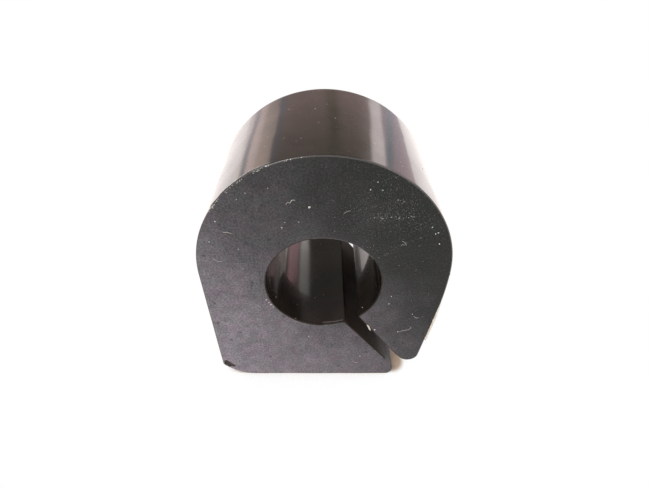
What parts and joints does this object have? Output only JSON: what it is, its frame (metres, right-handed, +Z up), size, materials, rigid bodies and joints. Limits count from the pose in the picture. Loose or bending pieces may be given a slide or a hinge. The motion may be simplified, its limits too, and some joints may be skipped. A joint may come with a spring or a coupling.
{
  "type": "sway bar bushing",
  "caption": "Moulded rubber bushing for a sway bar: round top, flat seat, through bore and a slanted slit from the bore to the lower corner so that it opens over the bar.",
  "frame": {"origin": "on the bore's axis, at mid length", "axes": "+Y along the bore, away from the end face that the picture shows; +Z up from the flat seat; +X towards the slit's side"},
  "size_m": [0.0427, 0.0274, 0.0493],
  "materials": {
    "moulded_rubber": "black rubber, glossy moulded skin round the outside and in the bore, dull dusty end faces"
  },
  "bodies": {
    "root": {"bushing": "moulded_rubber"}
  },
  "joints": []
}
